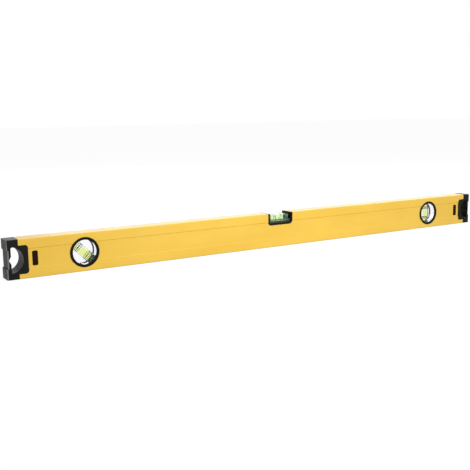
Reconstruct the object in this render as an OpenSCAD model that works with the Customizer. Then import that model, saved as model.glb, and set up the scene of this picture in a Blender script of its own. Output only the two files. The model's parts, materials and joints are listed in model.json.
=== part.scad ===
// Box-beam spirit level, 1 m long, with a plumb vial, a 45 degree vial and a top-read level vial.
// Origin: centre of the bottom measuring face. +X along the beam, -Y the front, +Z up. Millimetres.

/* [Beam] */
// length over the end caps
total_l = 1002; // [600:10:1200]
// width of the measuring faces
beam_w = 29; // [28:0.5:34]
// height of the beam
beam_h = 62; // [61:0.5:66]
// thickness of the side walls at the edge bands
side_wall = 2.3; // [2.1:0.1:3]
// thickness of the top and bottom walls
face_wall = 3; // [2.5:0.1:4]
// rounding of the long edges
edge_r = 1.2; // [0.6:0.1:1.5]
// depth of the flat panel along each side
panel_depth = 0.9; // [0.4:0.1:1]
// bottom of the side panel
panel_bottom = 16; // [14:0.5:17]
// top of the side panel
panel_top = 46.5; // [45:0.5:48]

/* [Round vials] */
// distance of the round vials from the middle
vial_x = 377.5; // [200:0.5:400]
// height of the round vials
vial_z = 30.7; // [30:0.1:32]
// outside diameter of the bezel rings
bezel_d = 48.5; // [47:0.5:49]
// clear diameter inside the bezel rings
clear_d = 39.8; // [39:0.2:41]
// how far a bezel stands out of the side
bezel_proud = 0.4; // [0.2:0.1:0.8]
// thickness of the clear disc
disc_t = 23.4; // [22:0.2:25]
// tilt of the left tube from upright
tilt_left = -45; // [-60:5:-30]
// tilt of the right tube from upright
tilt_right = 0; // [-10:5:10]
// bore of the clear disc
vial_bore = 15.2; // [14:0.1:15.6]
// length of the liquid in a round vial
liquid_l = 34; // [32:0.5:34.4]
// diameter of the bubble in a round vial
bubble_d = 9; // [8:0.1:10]
// length of the bubble in a round vial
bubble_l = 14; // [10:0.5:15]
// how far the left bubble floats up from the middle of its bore
left_float = 2.2; // [0:0.1:2.2]
// distance of the inner line from the middle of a round vial
inner_line = 8.6; // [7:0.1:9.5]
// distance of the outer line from the middle of a round vial
outer_line = 11.6; // [10.5:0.1:13]
// width of a line
line_w = 0.8; // [0.5:0.1:1]

/* [Level vial] */
// length of the notch in the top face
notch_l = 54; // [52:0.5:58]
// bottom of the notch
notch_z = 40.4; // [40:0.1:40.8]
// rounding of the lower corners of the notch
notch_r = 6.5; // [4:0.5:8]
// end wall of the frame that lines the notch
frame_wall = 3.4; // [2.4:0.1:3.6]
// floor of the frame that lines the notch
frame_floor_t = 3.8; // [3.4:0.1:4.1]
// height of the pad under the clear block
pad_h = 2.9; // [2:0.1:3.2]
// length of the clear block
block_l = 39; // [38:0.5:40]
// width of the clear block
block_w = 22; // [20:0.5:25]
// height of the top of the clear block
block_top = 59.3; // [58.9:0.1:60]
// bore of the clear block
level_bore = 10.4; // [9.6:0.1:10.6]
// height of the bore
level_bore_z = 53.2; // [52.9:0.1:53.5]
// diameter of the level bubble
level_bubble_d = 6.4; // [5:0.1:6.8]
// length of the level bubble
level_bubble_l = 11.4; // [9:0.1:11.8]
// distance of a level line from the middle
level_line = 6; // [5:0.1:8]
// length of the plug in the clear block
level_plug_l = 5; // [3:0.5:6]

/* [End caps] */
// length of a cap outside the beam
cap_l = 18.5; // [17:0.5:20]
// how far the measuring faces stand past the faces of a cap
cap_inset = 0.3; // [0.2:0.1:0.6]
// depth of the flat between the end pads
pad_depth = 1.8; // [1:0.1:2]
// bottom of the flat between the end pads
flat_bottom = 17; // [15:0.5:20]
// top of the flat between the end pads
flat_top = 46; // [43:0.5:48]
// rounding of the upright corners
cap_r = 2.5; // [1.5:0.5:4]
// distance of the hang hole's straight side from the end
hang_edge = 7; // [6.5:0.5:8]
// radius of the hang hole
hang_r = 20.3; // [19:0.1:20.5]
// height of the hang hole
hang_z = 30.4; // [30:0.1:31]
// depth of the nail notch in the hang hole
nail_notch = 3.3; // [2:0.1:3.6]
// length of the tongue inside the beam
tongue_l = 43; // [41:1:50]
// width of a latch window
window_w = 9; // [8:0.1:9.6]
// height of a latch window
window_h = 23.2; // [20:0.2:24]

/* [Assembly] */
// gap between pieces that move past each other
gap = 0.3; // [0.25:0.05:0.35]

/* [Hidden] */
$fn = 48;
cut = 1;
mid_z = beam_h / 2;
side_y = beam_w / 2;
panel_y = side_y - panel_depth;
inner_y = side_y - side_wall;
cap_out = total_l / 2;
beam_end = cap_out - cap_l;

end_notch_l = 15;
end_notch_h = 44.5;
end_notch_z = 30;
end_notch_r = 5;

window_x = beam_end - 25.3;
window_z = 30.4;
window_r = 2.5;

seat_gap = 0.05;
barrel_r = 23;
clear_r = clear_d / 2;
bezel_r = bezel_d / 2;
bezel_edge = 0.35;
flange_y = panel_y + seat_gap;
bezel_y = side_y + bezel_proud;
lip_w = 1.2;
lip_y = disc_t / 2 + seat_gap;
ring_r = clear_r + lip_w;
disc_r = ring_r - seat_gap;
bore_r = vial_bore / 2;
liquid_r = bore_r - seat_gap;
ring_depth = 0.25;

plug_l = 2.4;
plug_bottom = -sqrt(pow(disc_r, 2) - pow(bore_r, 2)) + 0.1;
liquid_bottom = plug_bottom + plug_l + seat_gap;
liquid_top = liquid_bottom + liquid_l;
channel_r = bubble_d / 2 + gap;
channel_top = liquid_top - 0.3;
channel_bottom = liquid_bottom + 0.3;
bubble_mid = channel_top - gap - bubble_l / 2;

frame_gap = 0.1;
frame_half = notch_l / 2 - frame_gap;
frame_bottom = notch_z + frame_gap;
frame_top = beam_h - 0.1;
frame_floor = frame_bottom + frame_floor_t;
shoulder_h = 6;
block_bottom = frame_floor + pad_h + 0.1;
block_half = block_l / 2;
block_edge = 0.6;
level_r = level_bore / 2;
level_floor = 2.5;
level_liquid_left = -block_half + level_floor + seat_gap;
level_liquid_right = block_half - level_plug_l - seat_gap;
level_channel_left = level_liquid_left + 0.3;
level_channel_right = level_liquid_right - 0.3;
level_channel_r = level_bubble_d / 2 + gap;
level_bubble_z = level_bore_z + level_r - 0.4 - level_channel_r;

cap_in = beam_end + gap;
cap_bottom = cap_inset;
cap_top = beam_h - cap_inset;
cap_h = cap_top - cap_bottom;
cap_half_w = side_y;
hang_side = cap_out - hang_edge;
hang_corner_r = 2.5;
hang_cut_h = 2 * hang_r - 0.8;
hang_centre = hang_side + 1.3;
notch_half_h = 6.2;
tongue_half_w = inner_y - gap;
tongue_bottom = face_wall + gap;
tongue_top = beam_h - face_wall - gap;
tongue_h = tongue_top - tongue_bottom;
tongue_mid = (tongue_top + tongue_bottom) / 2;
tongue_wall = 2;
tongue_in = beam_end - tongue_l;
pocket_out = beam_end - 17;
tab_gap = 0.4;

latch_in = pocket_out - 17;
latch_h = window_h - 2 * tab_gap;
latch_t = 2;
latch_face = panel_y - 0.2;

bubble_fn = 24;

// ---- shared shapes ----

// flat rectangle with round corners, centred
module rounded_rect(w, h, r) {
  square([w - 2 * r, h], center = true);
  square([w, h - 2 * r], center = true);
  for (x = [-1, 1], y = [-1, 1])
    translate([x * (w / 2 - r), y * (h / 2 - r)]) circle(r = r);
}

// flat shape drawn in X and Z, run through the beam's width
module across(w) {
  rotate([90, 0, 0]) linear_extrude(height = w, center = true) children();
}

// flat shape drawn in Y and Z, run along X from one place to another
module along(from, to) {
  translate([from, 0, 0]) rotate([90, 0, 90]) linear_extrude(height = to - from) children();
}

// rod with round ends between two heights
module capsule(bottom, top, r) {
  translate([0, 0, bottom + r]) cylinder(h = top - bottom - 2 * r, r = r);
  for (z = [bottom + r, top - r]) translate([0, 0, z]) sphere(r = r);
}

module at_vial(x) {
  translate([x, 0, vial_z]) children();
}

module at_tube(x, tilt) {
  at_vial(x) rotate([0, tilt, 0]) children();
}

// turns a shape that points up so that it points to the front
module facing_front(x) {
  at_vial(x) rotate([90, 0, 0]) children();
}

module facing_rear(x) {
  at_vial(x) rotate([-90, 0, 0]) children();
}

// ---- beam ----

module side_panel() {
  slope = 0.8;
  polygon([
    [panel_y, panel_bottom + slope],
    [side_y, panel_bottom],
    [side_y + cut, panel_bottom],
    [side_y + cut, panel_top],
    [side_y, panel_top],
    [panel_y, panel_top - slope]
  ]);
}

module beam_section() {
  difference() {
    translate([0, mid_z]) rounded_rect(beam_w, beam_h, edge_r);
    translate([0, mid_z]) rounded_rect(2 * inner_y, beam_h - 2 * face_wall, edge_r);
    side_panel();
    mirror([1, 0]) side_panel();
  }
}

module end_openings() {
  translate([beam_end - end_notch_l / 2 + cut, 0, end_notch_z])
    across(beam_w + 2 * cut) rounded_rect(end_notch_l + 2 * cut, end_notch_h, end_notch_r);
  translate([beam_end - end_notch_r, -side_y - cut, end_notch_z - end_notch_h / 2])
    cube([end_notch_r + cut, beam_w + 2 * cut, end_notch_h]);
  translate([window_x, 0, window_z])
    across(beam_w + 2 * cut) rounded_rect(window_w, window_h, window_r);
}

module vial_opening(x) {
  at_vial(x) rotate([90, 0, 0]) {
    cylinder(h = beam_w + 2 * cut, r = barrel_r + 2 * seat_gap, center = true);
    for (z = [panel_y, -panel_y - panel_depth - cut])
      translate([0, 0, z]) cylinder(h = panel_depth + cut, r = bezel_r + 2 * seat_gap);
  }
}

module level_opening() {
  depth = beam_h - notch_z;
  translate([0, 0, notch_z + depth])
    across(beam_w + 2 * cut) rounded_rect(notch_l, 2 * depth, notch_r);
}

module beam() {
  color("gold") difference() {
    along(-beam_end, beam_end) beam_section();
    end_openings();
    mirror([1, 0, 0]) end_openings();
    vial_opening(-vial_x);
    vial_opening(vial_x);
    level_opening();
  }
}

// ---- round vials ----

module bezel() {
  color("black") rotate_extrude() polygon([
    [ring_r, seat_gap],
    [barrel_r, seat_gap],
    [barrel_r, flange_y],
    [bezel_r, flange_y],
    [bezel_r, bezel_y - bezel_edge],
    [bezel_r - bezel_edge, bezel_y],
    [clear_r + bezel_edge, bezel_y],
    [clear_r, bezel_y - bezel_edge],
    [clear_r, lip_y],
    [ring_r, lip_y]
  ]);
}

// thin rings let into the wall of a bore, one for each distance on both sides of its middle
module bore_rings(distances, r_out, r_in) {
  for (s = [-1, 1], d = distances)
    translate([0, 0, s * d]) difference() {
      cylinder(h = line_w, r = r_out, center = true);
      cylinder(h = line_w + cut, r = r_in, center = true);
    }
}

module disc(tilt) {
  color("white", 0.4) difference() {
    rotate([90, 0, 0]) cylinder(h = disc_t, r = disc_r, center = true, $fn = 96);
    rotate([0, tilt, 0]) {
      translate([0, 0, -clear_d]) cylinder(h = clear_d + liquid_top + seat_gap, r = bore_r);
      bore_rings([inner_line, outer_line], bore_r + ring_depth, bore_r - cut);
    }
  }
}

module liquid(float) {
  color("yellowgreen", 0.7) difference() {
    translate([0, 0, liquid_bottom]) cylinder(h = liquid_l, r = liquid_r);
    translate([float, 0, 0]) capsule(channel_bottom, channel_top, channel_r, $fn = bubble_fn);
  }
}

module lines() {
  color("black") bore_rings([inner_line, outer_line], bore_r + ring_depth, bore_r);
}

module plug() {
  color("seagreen") translate([0, 0, plug_bottom]) cylinder(h = plug_l, r = liquid_r);
}

module bubble(float) {
  color("white", 0.6) translate([float, 0, bubble_mid])
    capsule(-bubble_l / 2, bubble_l / 2, bubble_d / 2, $fn = bubble_fn);
}

module left_ring_front() { facing_front(-vial_x) bezel(); }
module left_ring_rear() { facing_rear(-vial_x) bezel(); }
module left_disc() { at_vial(-vial_x) disc(tilt_left); }
module left_liquid() { at_tube(-vial_x, tilt_left) liquid(left_float); }
module left_lines() { at_tube(-vial_x, tilt_left) lines(); }
module left_plug() { at_tube(-vial_x, tilt_left) plug(); }
module left_bubble() { at_tube(-vial_x, tilt_left) bubble(left_float); }

module right_ring_front() { facing_front(vial_x) bezel(); }
module right_ring_rear() { facing_rear(vial_x) bezel(); }
module right_disc() { at_vial(vial_x) disc(tilt_right); }
module right_liquid() { at_tube(vial_x, tilt_right) liquid(0); }
module right_lines() { at_tube(vial_x, tilt_right) lines(); }
module right_plug() { at_tube(vial_x, tilt_right) plug(); }
module right_bubble() { at_tube(vial_x, tilt_right) bubble(0); }

// ---- level vial ----

// rectangle in X and Z with round lower corners, open above the beam
module notch_shape(half, bottom, r) {
  depth = beam_h - bottom;
  translate([0, bottom + depth]) rounded_rect(2 * half, 2 * depth, r);
}

module level_frame() {
  frame_w = beam_w - 2 * frame_gap;
  inner_half = frame_half - frame_wall;
  color("black") {
    difference() {
      across(frame_w) notch_shape(frame_half, frame_bottom, notch_r - frame_gap);
      across(frame_w + cut) notch_shape(inner_half, frame_floor, 2.5);
      translate([-notch_l / 2, -side_y, frame_top]) cube([notch_l, beam_w, beam_h]);
    }
    translate([-inner_half - cut, -block_w / 2, frame_floor - cut])
      cube([2 * (inner_half + cut), block_w, pad_h + cut]);
    for (x = [-inner_half - cut, block_half + frame_gap])
      translate([x, -block_w / 2, frame_floor - cut])
        cube([inner_half + cut - block_half - frame_gap, block_w, shoulder_h + cut]);
  }
}

module block_section() {
  h = block_top - block_bottom;
  translate([0, block_bottom + h / 2]) rounded_rect(block_w, h, block_edge);
}

// turns a shape that points up so that it points along the level bore
module along_bore(x) {
  translate([x, 0, level_bore_z]) rotate([0, 90, 0]) children();
}

module level_block() {
  color("white", 0.4) difference() {
    along(-block_half, block_half) block_section();
    along_bore(-block_half + level_floor) cylinder(h = block_l, r = level_r);
    along_bore(0) bore_rings([level_line], level_r + ring_depth, level_r - cut);
  }
}

module level_liquid() {
  color("yellowgreen", 0.7) difference() {
    along_bore(level_liquid_left)
      cylinder(h = level_liquid_right - level_liquid_left, r = level_r - seat_gap);
    translate([0, 0, level_bubble_z]) rotate([0, 90, 0])
      capsule(level_channel_left, level_channel_right, level_channel_r, $fn = bubble_fn);
  }
}

module level_lines() {
  color("black") along_bore(0) bore_rings([level_line], level_r + ring_depth, level_r);
}

module level_plug() {
  color("seagreen") along_bore(block_half - level_plug_l)
    cylinder(h = level_plug_l, r = level_r - seat_gap);
}

module level_bubble() {
  color("white", 0.6) translate([0, 0, level_bubble_z]) rotate([0, 90, 0])
    capsule(-level_bubble_l / 2, level_bubble_l / 2, level_bubble_d / 2, $fn = bubble_fn);
}

// ---- end caps, drawn for the right end ----

// plan of a cap between the beam and an outer face, with round outer corners
module cap_plan(out) {
  w = 2 * cap_half_w;
  l = out - cap_in;
  intersection() {
    translate([out - l, 0]) rounded_rect(2 * l, w, cap_r);
    translate([cap_in, -w]) square([l, 2 * w]);
  }
}

module hang_hole() {
  translate([0, 0, hang_z]) across(beam_w + 2 * cut) {
    intersection() {
      translate([hang_centre, 0]) circle(r = hang_r, $fn = 96);
      translate([hang_side - hang_r, 0]) rounded_rect(2 * hang_r, hang_cut_h, hang_corner_r);
    }
    polygon([
      [hang_side - 0.1, notch_half_h],
      [hang_side + nail_notch, 0],
      [hang_side - 0.1, -notch_half_h]
    ]);
  }
}

module tongue() {
  difference() {
    translate([0, 0, tongue_mid]) along(tongue_in, cap_in + cut)
      rounded_rect(2 * tongue_half_w, tongue_h, edge_r);
    translate([0, 0, tongue_mid]) along(tongue_in - cut, pocket_out)
      rounded_rect(2 * (tongue_half_w - tongue_wall), tongue_h - 2 * tongue_wall, edge_r);
    translate([latch_in - gap, -side_y, window_z - window_h / 2 - tab_gap])
      cube([pocket_out - latch_in + gap, beam_w, window_h + 2 * tab_gap]);
  }
}

module tabs() {
  tab_l = end_notch_l - tab_gap;
  tab_h = end_notch_h - 2 * tab_gap;
  translate([beam_end - tab_l / 2 + 2, 0, end_notch_z]) across(2 * cap_half_w)
    rounded_rect(tab_l + 4, tab_h, end_notch_r - tab_gap);
}

module cap() {
  color([0.12, 0.12, 0.11]) difference() {
    union() {
      translate([0, 0, cap_bottom]) linear_extrude(height = cap_h) cap_plan(cap_out - pad_depth);
      translate([0, 0, cap_bottom]) linear_extrude(height = flat_bottom - cap_bottom) cap_plan(cap_out);
      translate([0, 0, flat_top]) linear_extrude(height = cap_top - flat_top) cap_plan(cap_out);
      tongue();
      tabs();
    }
    hang_hole();
  }
}

module latch() {
  color([0.2, 0.15, 0.12]) {
    translate([latch_in, -tongue_half_w, window_z - latch_h / 2])
      cube([pocket_out - gap - latch_in, latch_t, latch_h]);
    translate([window_x, -latch_face, window_z]) rotate([-90, 0, 0])
      linear_extrude(height = latch_face - tongue_half_w + latch_t / 2)
        rounded_rect(window_w - 2 * tab_gap, latch_h, window_r - tab_gap);
  }
}

module right_cap() { cap(); }
module right_latch_front() { latch(); }
module right_latch_rear() { mirror([0, 1, 0]) latch(); }
module left_cap() { mirror([1, 0, 0]) cap(); }
module left_latch_front() { mirror([1, 0, 0]) latch(); }
module left_latch_rear() { mirror([1, 0, 0]) mirror([0, 1, 0]) latch(); }

beam();
left_ring_front();
left_ring_rear();
left_disc();
left_liquid();
left_lines();
left_plug();
left_bubble();
right_ring_front();
right_ring_rear();
right_disc();
right_liquid();
right_lines();
right_plug();
right_bubble();
level_frame();
level_block();
level_liquid();
level_lines();
level_plug();
level_bubble();
left_cap();
left_latch_front();
left_latch_rear();
right_cap();
right_latch_front();
right_latch_rear();
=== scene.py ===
import json
import math

import bmesh
import bpy
from mathutils import Matrix, Vector


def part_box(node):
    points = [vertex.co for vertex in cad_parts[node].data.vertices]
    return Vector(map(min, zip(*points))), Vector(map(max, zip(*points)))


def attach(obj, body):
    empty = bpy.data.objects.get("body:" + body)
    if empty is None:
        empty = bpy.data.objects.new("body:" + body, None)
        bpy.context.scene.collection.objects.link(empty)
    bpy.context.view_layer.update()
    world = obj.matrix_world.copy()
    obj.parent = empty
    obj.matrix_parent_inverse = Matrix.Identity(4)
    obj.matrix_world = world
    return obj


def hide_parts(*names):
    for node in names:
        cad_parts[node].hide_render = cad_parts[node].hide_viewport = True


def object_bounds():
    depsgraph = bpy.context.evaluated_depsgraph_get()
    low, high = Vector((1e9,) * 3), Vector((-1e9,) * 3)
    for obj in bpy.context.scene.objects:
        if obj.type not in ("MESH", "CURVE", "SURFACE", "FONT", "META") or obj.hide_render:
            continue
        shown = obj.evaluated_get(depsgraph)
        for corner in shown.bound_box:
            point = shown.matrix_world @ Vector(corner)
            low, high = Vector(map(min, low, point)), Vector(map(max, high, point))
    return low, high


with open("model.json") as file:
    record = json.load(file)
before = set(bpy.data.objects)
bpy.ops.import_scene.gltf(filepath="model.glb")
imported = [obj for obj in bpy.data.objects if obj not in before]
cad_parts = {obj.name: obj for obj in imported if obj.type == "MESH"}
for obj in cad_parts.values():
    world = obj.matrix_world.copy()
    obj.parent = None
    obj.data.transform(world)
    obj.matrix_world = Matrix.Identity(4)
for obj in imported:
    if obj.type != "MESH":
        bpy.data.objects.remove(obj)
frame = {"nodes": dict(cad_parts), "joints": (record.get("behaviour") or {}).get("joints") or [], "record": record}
CAD_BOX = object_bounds()

MM = 0.001
HEIGHT = CAD_BOX[1][2] - CAD_BOX[0][2]
BEAM_HALF_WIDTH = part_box("beam")[1].y
STEP_HEIGHT = 46.1 * MM
RUB_WIDTH = 0.9 * MM
SIDES = ("left", "right")
FACES = ("front", "rear")


# ---- materials ----

class Shader:
    """A node material with short ways to add nodes and links."""

    def __init__(self, name):
        self.material = bpy.data.materials.new(name)
        self.material.use_nodes = True
        self.tree = self.material.node_tree
        self.tree.nodes.clear()
        self.output = self.tree.nodes.new("ShaderNodeOutputMaterial")
        self.place = self.add("ShaderNodeTexCoord").outputs["Object"]

    def add(self, kind, **inputs):
        """Adds a node. Each keyword is an input's name, with spaces as underscores, and its value or a socket."""
        node = self.tree.nodes.new(kind)
        for key, value in inputs.items():
            self.set(node, key.replace("_", " "), value)
        return node

    def set(self, node, key, value):
        if isinstance(value, bpy.types.NodeSocket):
            self.tree.links.new(value, node.inputs[key])
        else:
            node.inputs[key].default_value = value

    def math(self, operation, *values, clamp=False):
        node = self.tree.nodes.new("ShaderNodeMath")
        node.operation = operation
        node.use_clamp = clamp
        for i, value in enumerate(values):
            self.set(node, i, value)
        return node.outputs[0]

    def noise(self, scale, detail=3.0, rough=0.5, stretch=(1, 1, 1)):
        vector = self.add("ShaderNodeMapping", Vector=self.place, Scale=stretch).outputs[0]
        noise = self.add("ShaderNodeTexNoise", Vector=vector, Scale=scale, Detail=detail, Roughness=rough)
        return noise.outputs["Fac"]

    def ramp(self, fac, low, high, at=(0.0, 1.0)):
        """Blends two values or colours as fac goes between two levels."""
        node = self.add("ShaderNodeMapRange", Value=fac, From_Min=at[0], From_Max=at[1])
        node.interpolation_type = "SMOOTHSTEP"
        if isinstance(low, (int, float)):
            node.inputs["To Min"].default_value = low
            node.inputs["To Max"].default_value = high
            return node.outputs[0]
        mix = self.tree.nodes.new("ShaderNodeMix")
        mix.data_type = "RGBA"
        self.tree.links.new(node.outputs[0], mix.inputs["Factor"])
        colours = [s for s in mix.inputs if s.type == "RGBA"]
        for socket, value in zip(colours, (low, high)):
            if isinstance(value, bpy.types.NodeSocket):
                self.tree.links.new(value, socket)
            else:
                socket.default_value = (*value, 1.0)
        return [s for s in mix.outputs if s.type == "RGBA"][0]

    def bump(self, height, strength, distance):
        return self.add("ShaderNodeBump", Height=height, Strength=strength, Distance=distance).outputs[0]

    def axis(self, name):
        return self.add("ShaderNodeSeparateXYZ", Vector=self.place).outputs[name]

    def normal(self, name):
        """One part of the surface's direction in the piece's own axes, without its sign."""
        coord = self.add("ShaderNodeTexCoord").outputs["Normal"]
        return self.math("ABSOLUTE", self.add("ShaderNodeSeparateXYZ", Vector=coord).outputs[name])

    def finish(self, surface):
        self.tree.links.new(surface, self.output.inputs["Surface"])
        return self.material


def powder_coat():
    """Golden yellow powder coat: faint orange peel, slow tone drift, a paler rubbed line on the long edges, a painted
    shade line along the upper panel step and a painted contact shadow along the bottom.
    """
    s = Shader("yellow_powder_coat")
    drift = s.noise(9.0, detail=2.0, stretch=(1, 3, 3))
    fleck = s.noise(900.0, detail=2.0)
    base = s.ramp(drift, (0.78, 0.485, 0.050), (0.82, 0.525, 0.062), at=(0.3, 0.7))
    base = s.ramp(fleck, base, (0.85, 0.57, 0.085), at=(0.55, 0.95))
    across = s.math("ABSOLUTE", s.axis("Y"))
    edge_y = s.math("SUBTRACT", across, BEAM_HALF_WIDTH - RUB_WIDTH)
    up = s.math("ABSOLUTE", s.math("SUBTRACT", s.axis("Z"), HEIGHT / 2))
    edge_z = s.math("SUBTRACT", up, HEIGHT / 2 - RUB_WIDTH)
    corner = s.math("MINIMUM", edge_y, edge_z)
    patch = s.noise(60.0, detail=5.0, rough=0.65, stretch=(1, 4, 4))
    # Rubbed wear: a paler, patchy line along the four long edges.
    near_edge = s.ramp(corner, 0.0, 1.0, at=(0.0, 0.6 * MM))
    rub_and_highlight = s.math("MULTIPLY", near_edge, s.ramp(patch, 0.0, 0.55, at=(0.5, 0.8)))
    base = s.ramp(rub_and_highlight, base, (0.95, 0.66, 0.22))
    # Painted shade: a darker line along the upper panel step, where the step faces down and falls in shadow.
    step = s.math("ABSOLUTE", s.math("SUBTRACT", s.axis("Z"), STEP_HEIGHT))
    near_step = s.ramp(step, 1.0, 0.0, at=(0.3 * MM, 0.9 * MM))
    step_shade = s.math("MULTIPLY", near_step, s.ramp(patch, 0.22, 0.50, at=(0.3, 0.7)))
    base = s.ramp(step_shade, base, (0.48, 0.28, 0.045))
    # Painted shadow: the bottom couple of millimetres darker, standing in for the floor's contact shadow.
    near_foot_shadow = s.ramp(s.axis("Z"), 0.55, 0.0, at=(0.5 * MM, 2.2 * MM))
    foot = s.math("MULTIPLY", near_foot_shadow, s.ramp(patch, 0.7, 1.0, at=(0.3, 0.7)))
    base = s.ramp(foot, base, (0.38, 0.29, 0.09))
    smear = s.noise(35.0, detail=4.0, rough=0.6, stretch=(1, 2.5, 2.5))
    rough = s.ramp(smear, 0.34, 0.44, at=(0.3, 0.75))
    peel = s.noise(1400.0, detail=1.5, rough=0.4)
    shader = s.add(
        "ShaderNodeBsdfPrincipled",
        Base_Color=base,
        Roughness=rough,
        Normal=s.bump(peel, 0.10, 0.05 * MM),
        IOR=1.5,
    )
    shader.inputs["Specular IOR Level"].default_value = 0.12
    shader.inputs["Coat Weight"].default_value = 0.6
    shader.inputs["Coat Roughness"].default_value = 0.28
    return s.finish(shader.outputs[0])


def moulded_plastic(name, dark, light, rough, grain, grain_size, shine=0.35, rub_and_highlight=0.0):
    """Moulded plastic: spark-eroded grain, slow tone drift, paler rougher scuffs, and, when asked for, a painted
    highlight on the rounded vertical corners and a painted sheen on faces that point up or down.
    """
    s = Shader(name)
    drift = s.noise(70.0, detail=3.0)
    base = s.ramp(drift, dark, light, at=(0.3, 0.75))
    scuff = s.noise(320.0, detail=6.0, rough=0.7, stretch=(1, 1, 0.25))
    worn = s.ramp(scuff, 0.0, 1.0, at=(0.66, 0.82))
    base = s.ramp(worn, base, tuple(3.0 * c + 0.012 for c in light))
    if rub_and_highlight > 0.0:
        # Painted highlight: rounded vertical corners made paler, where they catch the light.
        corner = s.math("MULTIPLY", s.normal("X"), s.normal("Y"))
        patchy = s.ramp(s.noise(90.0, detail=4.0), 0.6, 1.0, at=(0.3, 0.6))
        base = s.ramp(s.math("MULTIPLY", s.ramp(corner, 0.0, rub_and_highlight, at=(0.12, 0.40)), patchy), base, (0.26, 0.27, 0.26))
        # Painted sheen: faces that point up or down made paler, standing in for their grazing reflection.
        horizontal_face_sheen = s.math("MULTIPLY", s.ramp(s.normal("Z"), 0.0, 0.6 * rub_and_highlight, at=(0.6, 0.95)), patchy)
        base = s.ramp(horizontal_face_sheen, base, (0.24, 0.25, 0.24))
    spark = s.noise(1.0 / grain_size, detail=2.0, rough=0.6)
    shader = s.add(
        "ShaderNodeBsdfPrincipled",
        Base_Color=base,
        Roughness=s.ramp(scuff, rough, rough + 0.14, at=(0.35, 0.8)),
        Normal=s.bump(spark, grain, 0.08 * MM),
        IOR=1.5,
    )
    shader.inputs["Specular IOR Level"].default_value = shine
    return s.finish(shader.outputs[0])


def lets_lamps_through(s, surface, tint):
    """The same surface to the eye, and clear with a tint to lamps, so that what is inside is lit."""
    lamp = s.add("ShaderNodeLightPath").outputs["Is Shadow Ray"]
    clear = s.add("ShaderNodeBsdfTransparent", Color=(*tint, 1.0))
    mix = s.add("ShaderNodeMixShader")
    s.tree.links.new(lamp, mix.inputs[0])
    s.tree.links.new(surface, mix.inputs[1])
    s.tree.links.new(clear.outputs[0], mix.inputs[2])
    return mix.outputs[0]


def solid_clear(name, tint, ior):
    """A thick clear moulding that bends what is seen through it."""
    s = Shader(name)
    flow = s.noise(160.0, detail=2.0)
    glass = s.add(
        "ShaderNodeBsdfPrincipled",
        Base_Color=s.ramp(flow, tint, tuple(min(1.0, c + 0.02) for c in tint), at=(0.3, 0.7)),
        Roughness=s.ramp(s.noise(500.0, detail=4.0, rough=0.7), 0.02, 0.07, at=(0.55, 0.85)),
        Normal=s.bump(flow, 0.04, 0.1 * MM),
        IOR=ior,
    )
    glass.inputs["Transmission Weight"].default_value = 1.0
    return s.finish(lets_lamps_through(s, glass.outputs[0], tint))


def tinted_liquid(name, deep, pale, reach):
    """Dyed spirit in a bore: deep in the middle, pale at its sides where less of it lies in the line of sight."""
    s = Shader(name)
    cloud = s.noise(90.0, detail=2.0)
    middle = s.ramp(cloud, deep, tuple(0.97 * c for c in deep), at=(0.25, 0.75))
    facing = s.add("ShaderNodeLayerWeight", Blend=0.5).outputs["Facing"]
    colour = s.ramp(facing, middle, pale, at=reach)
    bent = s.add("ShaderNodeBsdfRefraction", Color=colour, IOR=LIQUID_IN_ACRYLIC, Roughness=0.0)
    return s.finish(lets_lamps_through(s, bent.outputs[0], pale))


def air(name, undyed, rim, haze):
    """A bubble: paler than the dyed liquid round it, with a dark outline, a haze of lit liquid and a small shine."""
    s = Shader(name)
    facing = s.add("ShaderNodeLayerWeight", Blend=0.5).outputs["Facing"]
    through = s.ramp(facing, undyed, rim, at=(0.62, 0.93))
    clear = s.add("ShaderNodeBsdfTransparent", Color=through)
    lit = s.add("ShaderNodeBsdfDiffuse", Color=(0.80, 0.97, 0.72, 1.0))
    hazy = s.add("ShaderNodeMixShader", Fac=s.ramp(facing, haze, 0.0, at=(0.55, 0.85)))
    s.tree.links.new(clear.outputs[0], hazy.inputs[1])
    s.tree.links.new(lit.outputs[0], hazy.inputs[2])
    polish = s.ramp(s.noise(300.0), 0.03, 0.06)
    shine = s.add("ShaderNodeBsdfGlossy", Color=(0.80, 0.88, 0.70, 1.0), Roughness=polish)
    mix = s.add("ShaderNodeMixShader", Fac=s.ramp(facing, 0.03, 0.12, at=(0.3, 0.9)))
    s.tree.links.new(hazy.outputs[0], mix.inputs[1])
    s.tree.links.new(shine.outputs[0], mix.inputs[2])
    return s.finish(mix.outputs[0])


LIQUID_IN_ACRYLIC = 0.96
YELLOW = powder_coat()
# The cap's plastic gets a painted highlight on its rounded vertical corners and a painted sheen on its top and bottom
# faces.
CAP_BLACK = moulded_plastic(
    "cap_plastic", (0.0050, 0.0055, 0.0045), (0.0085, 0.0090, 0.0075), 0.42, 0.35, 0.25 * MM, shine=0.10, rub_and_highlight=0.85
)
BEZEL_BLACK = moulded_plastic(
    "bezel_plastic", (0.005, 0.004, 0.003), (0.008, 0.006, 0.004), 0.30, 0.12, 0.2 * MM, 0.10
)
FRAME_BLACK = moulded_plastic(
    "frame_plastic", (0.005, 0.005, 0.003), (0.008, 0.008, 0.005), 0.30, 0.12, 0.2 * MM, 0.12
)
LATCH_BLACK = moulded_plastic(
    "latch_plastic", (0.012, 0.004, 0.001), (0.018, 0.006, 0.002), 0.45, 0.25, 0.2 * MM, 0.05
)
SEAT_DARK = moulded_plastic(
    "block_seat", (0.028, 0.050, 0.010), (0.040, 0.070, 0.014), 0.35, 0.1, 0.2 * MM
)
LINE_BLACK = moulded_plastic(
    "line_print", (0.010, 0.020, 0.010), (0.020, 0.035, 0.018), 0.45, 0.1, 0.1 * MM
)
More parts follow.
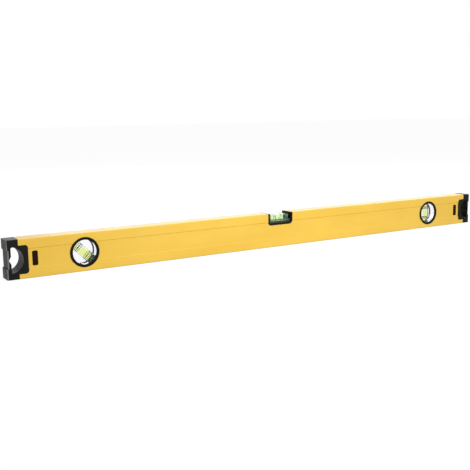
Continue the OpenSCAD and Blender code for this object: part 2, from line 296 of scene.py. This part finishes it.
PLUG_GREEN = moulded_plastic(
    "plug_plastic", (0.010, 0.070, 0.032), (0.015, 0.100, 0.045), 0.28, 0.1, 0.2 * MM
)
DISC_CLEAR = solid_clear("disc_acrylic", (0.90, 0.90, 0.945), 1.49)
BLOCK_CLEAR = solid_clear("block_acrylic", (0.90, 0.975, 0.88), 1.45)
LIQUID_LIME = tinted_liquid("vial_liquid", (0.925, 0.98, 0.55), (0.975, 0.99, 0.88), (0.12, 0.70))
LEVEL_GREEN = tinted_liquid("level_liquid_dye", (0.86, 0.97, 0.70), (0.95, 0.99, 0.90), (0.2, 0.8))
AIR = air("bubble_air", (1.03, 1.01, 1.45), (0.12, 0.20, 0.08), 0.0)
LEVEL_AIR = air("level_bubble_air", (1.10, 1.02, 1.25), (0.12, 0.20, 0.10), 0.30)


# ---- mesh building ----

def add_object(name, mesh, material):
    """Puts a mesh in the scene with one material."""
    obj = bpy.data.objects.new(name, mesh)
    bpy.context.scene.collection.objects.link(obj)
    obj.data.materials.clear()
    obj.data.materials.append(material)
    return obj


def rides_for(obj, node):
    """The piece stands for the CAD node: it rides on the node's body, and the node is hidden."""
    record = frame["record"]
    for body, members in record["behaviour"]["bodies"].items():
        if node in members:
            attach(obj, body)
    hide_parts(node)


def softened(node, material, width, segments=3, sharp=28):
    """A fresh copy of a CAD node with its sharp edges rounded, as moulding or coating leaves them."""
    mesh = bpy.data.meshes.new(node + "_shell")
    bm = bmesh.new()
    bm.from_mesh(frame["nodes"][node].data)
    for layer in list(bm.loops.layers.float_vector.values()):
        bm.loops.layers.float_vector.remove(layer)
    bmesh.ops.remove_doubles(bm, verts=bm.verts, dist=2e-6)
    bmesh.ops.dissolve_limit(
        bm, angle_limit=math.radians(0.3), verts=bm.verts, edges=bm.edges, use_dissolve_boundaries=False
    )
    edges = [e for e in bm.edges if e.is_manifold and e.calc_face_angle(0.0) > math.radians(sharp)]
    bmesh.ops.bevel(
        bm,
        geom=edges,
        offset=width,
        offset_type="OFFSET",
        segments=segments,
        profile=0.5,
        affect="EDGES",
        clamp_overlap=True,
    )
    bmesh.ops.recalc_face_normals(bm, faces=bm.faces)
    for face in bm.faces:
        face.smooth = True
    bm.to_mesh(mesh)
    bm.free()
    obj = add_object(node + "_shell", mesh, material)
    flat = obj.modifiers.new("flat_faces", "WEIGHTED_NORMAL")
    flat.weight = 100
    flat.keep_sharp = True
    rides_for(obj, node)
    return obj


def arc(centre, radius, start, end, steps):
    """Points on a circle in a profile, from one angle to another in degrees."""
    return [
        (
            centre[0] + radius * math.cos(math.radians(start + (end - start) * i / steps)),
            centre[1] + radius * math.sin(math.radians(start + (end - start) * i / steps)),
        )
        for i in range(steps + 1)
    ]


def lathe(name, profile, place, material, segments=96):
    """Turns a profile of (radius, height) points round the local Z axis and puts it in place."""
    bm = bmesh.new()
    rings = []
    for radius, height in profile:
        if radius < 1e-7:
            rings.append([bm.verts.new((0, 0, height))])
            continue
        turn = [2 * math.pi * i / segments for i in range(segments)]
        rings.append([bm.verts.new((radius * math.cos(a), radius * math.sin(a), height)) for a in turn])
    for below, above in zip(rings, rings[1:]):
        for i in range(segments):
            j = (i + 1) % segments
            corners = [below[i % len(below)], below[j % len(below)], above[j % len(above)], above[i % len(above)]]
            unique = list(dict.fromkeys(corners))
            if len(unique) > 2:
                bm.faces.new(unique)
    bmesh.ops.recalc_face_normals(bm, faces=bm.faces)
    for face in bm.faces:
        face.smooth = True
    mesh = bpy.data.meshes.new(name)
    bm.to_mesh(mesh)
    bm.free()
    mesh.transform(place)
    mesh.set_sharp_from_angle(angle=math.radians(40))
    return add_object(name, mesh, material)


def rod_profile(bottom, top, radius, end_r):
    """A rod along Z whose ends are rounded by end_r."""
    return [
        (0, bottom),
        *arc((radius - end_r, bottom + end_r), end_r, -90, 0, 8),
        *arc((radius - end_r, top - end_r), end_r, 0, 90, 8),
        (0, top),
    ]


def centre_of(node):
    """The middle of a CAD node's box."""
    low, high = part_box(node)
    return (low + high) / 2


# ---- round vials ----

def tube_axis(side):
    """The direction of a vial's run, taken from its bubble's joint."""
    for joint in frame["joints"]:
        if joint["child"] == side + "_bubble_body":
            return Vector(joint["axis"]).normalized()


def bore_place(side):
    """Stands a lathed piece up along a vial's bore, with its foot at the middle of the disc."""
    turn = Vector((0, 0, 1)).rotation_difference(tube_axis(side)).to_matrix().to_4x4()
    return Matrix.Translation(centre_of(side + "_disc")) @ turn


MIDDLE = centre_of("right_disc")


def span(node):
    """Where an upright piece of the right vial starts and ends, from the disc's middle, and its radius."""
    low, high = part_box(node)
    return low.z - MIDDLE.z, high.z - MIDDLE.z, (high.x - low.x) / 2


def build_disc(node):
    """The clear disc stands in the scene without its bore, as liquid fills it with no gap for the eye."""
    low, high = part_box(node)
    half, radius = (high.y - low.y) / 2, (high.x - low.x) / 2
    place = Matrix.Translation(centre_of(node)) @ Matrix.Rotation(math.radians(90), 4, "X")
    rides_for(lathe(node + "_body", rod_profile(-half, half, radius, 0.35 * MM), place, DISC_CLEAR), node)


def build_round_vial(side):
    """Two rings, the clear disc and what is in its bore, for the 45 degree or the plumb vial."""
    place = bore_place(side)
    for face in FACES:
        softened(f"{side}_ring_{face}", BEZEL_BLACK, 0.18 * MM)
    build_disc(side + "_disc")
    softened(side + "_lines", LINE_BLACK, 0.03 * MM, segments=1)
    low, high, radius = span("right_liquid")
    liquid = rod_profile(low, high, radius, 0.6 * MM)
    rides_for(lathe(side + "_liquid_fill", liquid, place, LIQUID_LIME), side + "_liquid")
    low, high, radius = span("right_plug")
    plug = rod_profile(low, high, radius, 0.4 * MM)
    rides_for(lathe(side + "_plug_cork", plug, place, PLUG_GREEN), side + "_plug")
    low, high, radius = span("right_bubble")
    half = (high - low) / 2
    bubble = rod_profile(-half, half, radius, 0.96 * radius)
    middle = Matrix.Translation(centre_of(side + "_bubble")) @ place.to_3x3().to_4x4()
    rides_for(lathe(side + "_bubble_air", bubble, middle, AIR, segments=64), side + "_bubble")


for side in SIDES:
    build_round_vial(side)


# ---- level vial ----

def rounded_block(name, low, high, edge, material, seat):
    """A block with rounded edges between two corners, and another material on the face it stands on."""
    bm = bmesh.new()
    bmesh.ops.create_cube(bm, size=1.0)
    size = high - low
    for v in bm.verts:
        share = v.co + Vector((0.5, 0.5, 0.5))
        v.co = Vector(low) + Vector((share.x * size.x, share.y * size.y, share.z * size.z))
    bmesh.ops.bevel(
        bm, geom=list(bm.edges), offset=edge, offset_type="OFFSET", segments=4, profile=0.5, affect="EDGES"
    )
    for face in bm.faces:
        face.smooth = True
    mesh = bpy.data.meshes.new(name)
    bm.to_mesh(mesh)
    bm.free()
    obj = add_object(name, mesh, material)
    obj.data.materials.append(seat)
    for polygon in obj.data.polygons:
        polygon.material_index = 1 if polygon.normal.z < -0.8 else 0
    obj.modifiers.new("flat_faces", "WEIGHTED_NORMAL").weight = 100
    return obj


def along_x(node):
    """Puts a lathed piece, turned round Z, along X through a node's middle."""
    return Matrix.Translation(centre_of(node)) @ Matrix.Rotation(math.radians(90), 4, "Y")


def run_along_x(node, name, end_r, material):
    """A rod with rounded ends that takes the place of a CAD node lying along the beam."""
    low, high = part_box(node)
    radius, half = (high.z - low.z) / 2, (high.x - low.x) / 2
    profile = rod_profile(-half, half, radius, end_r)
    rides_for(lathe(name, profile, along_x(node), material), node)


def colour_pad(obj, seat):
    """Gives the pad under the clear block its own colour, up to the block's foot."""
    low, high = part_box("level_block")
    obj.data.materials.append(seat)
    for polygon in obj.data.polygons:
        x, y, z = polygon.center
        inside = abs(y) < high.y + 0.2 * MM and abs(x) < high.x + 4.0 * MM
        if inside and low.z - 3.2 * MM < z < low.z + 0.2 * MM:
            polygon.material_index = 1


colour_pad(softened("level_frame", FRAME_BLACK, 0.3 * MM), SEAT_DARK)
level_block = rounded_block("level_block_body", *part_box("level_block"), 0.6 * MM, BLOCK_CLEAR, SEAT_DARK)
rides_for(level_block, "level_block")
run_along_x("level_liquid", "level_liquid_fill", 0.8 * MM, LEVEL_GREEN)
run_along_x("level_plug", "level_plug_cork", 0.4 * MM, PLUG_GREEN)
run_along_x("level_bubble", "level_bubble_air", 2.75 * MM, LEVEL_AIR)
softened("level_lines", LINE_BLACK, 0.03 * MM, segments=1)


# ---- beam, caps and latches ----

softened("beam", YELLOW, 0.22 * MM)
for side in SIDES:
    softened(side + "_cap", CAP_BLACK, 0.5 * MM)
    for face in FACES:
        softened(f"{side}_latch_{face}", LATCH_BLACK, 0.35 * MM)


# ---- studio ----

def plain_floor():
    """A white sweep that glows a little, as an overlit product table does."""
    s = Shader("white_sweep")
    mottle = s.noise(3.0, detail=2.0)
    diffuse = s.add("ShaderNodeBsdfDiffuse", Color=s.ramp(mottle, (0.90, 0.90, 0.90), (0.92, 0.92, 0.92)))
    soft = s.add("ShaderNodeLightPath").outputs["Is Diffuse Ray"]
    glow = s.add("ShaderNodeEmission", Color=(1, 1, 1, 1), Strength=s.ramp(soft, 1.1, 0.58))
    mix = s.add("ShaderNodeMixShader", Fac=0.8)
    s.tree.links.new(diffuse.outputs[0], mix.inputs[1])
    s.tree.links.new(glow.outputs[0], mix.inputs[2])
    material = s.finish(mix.outputs[0])
    bm = bmesh.new()
    reach = 12.0
    corners = [(-reach, -reach), (reach, -reach), (reach, reach), (-reach, reach)]
    bm.faces.new([bm.verts.new((x, y, CAD_BOX[0][2] - 0.2 * MM)) for x, y in corners])
    mesh = bpy.data.meshes.new("floor")
    bm.to_mesh(mesh)
    bm.free()
    floor = add_object("floor", mesh, material)


def white_room(seen, cast):
    """A white room: as bright as paper where it is seen or mirrored, and dimmer as a light."""
    world = bpy.data.worlds.new("white_room")
    world.use_nodes = True
    tree = world.node_tree
    background = tree.nodes["Background"]
    background.inputs["Color"].default_value = (1.0, 1.0, 1.0, 1.0)
    strength = tree.nodes.new("ShaderNodeMapRange")
    strength.inputs["To Min"].default_value = seen
    strength.inputs["To Max"].default_value = cast
    tree.links.new(tree.nodes.new("ShaderNodeLightPath").outputs["Is Diffuse Ray"], strength.inputs["Value"])
    tree.links.new(strength.outputs[0], background.inputs["Strength"])
    bpy.context.scene.world = world


def softbox(name, place, target, size, power):
    """A wide soft lamp at a place, turned to a target."""
    light = bpy.data.lights.new(name, "AREA")
    light.shape = "RECTANGLE"
    light.size, light.size_y = size
    light.energy = power
    obj = bpy.data.objects.new(name, light)
    bpy.context.scene.collection.objects.link(obj)
    obj.location = place
    obj.rotation_euler = (Vector(target) - Vector(place)).to_track_quat("-Z", "Y").to_euler()


plain_floor()
white_room(1.0, 0.52)
softbox("key", (0.02, -0.85, 0.5), (0.02, 0.0, 0.03), (0.5, 0.4), 6.6)
softbox("top", (0.2, 0.3, 1.8), (0.0, 0.0, 0.03), (1.8, 0.8), 10.0)
softbox("back", (1.1, 1.7, 0.42), (0.0, 0.0, 0.06), (2.0, 0.5), 3.0)


# ---- camera ----

def photo_camera():
    """The camera stands off the left end, a little above the beam, and looks along it."""
    data = bpy.data.cameras.new("camera")
    data.sensor_width = 36.0
    data.lens = 57.64
    obj = bpy.data.objects.new("camera", data)
    bpy.context.scene.collection.objects.link(obj)
    tilt, roll, heading = 80.591, 0.821, -31.496
    obj.location = (-0.78487, -1.14065, 0.24923)
    obj.rotation_euler = [math.radians(angle) for angle in (tilt, roll, heading)]
    data.clip_start, data.clip_end = 0.05, 60.0
    bpy.context.scene.camera = obj


photo_camera()
bpy.context.scene.view_settings.view_transform = "Standard"
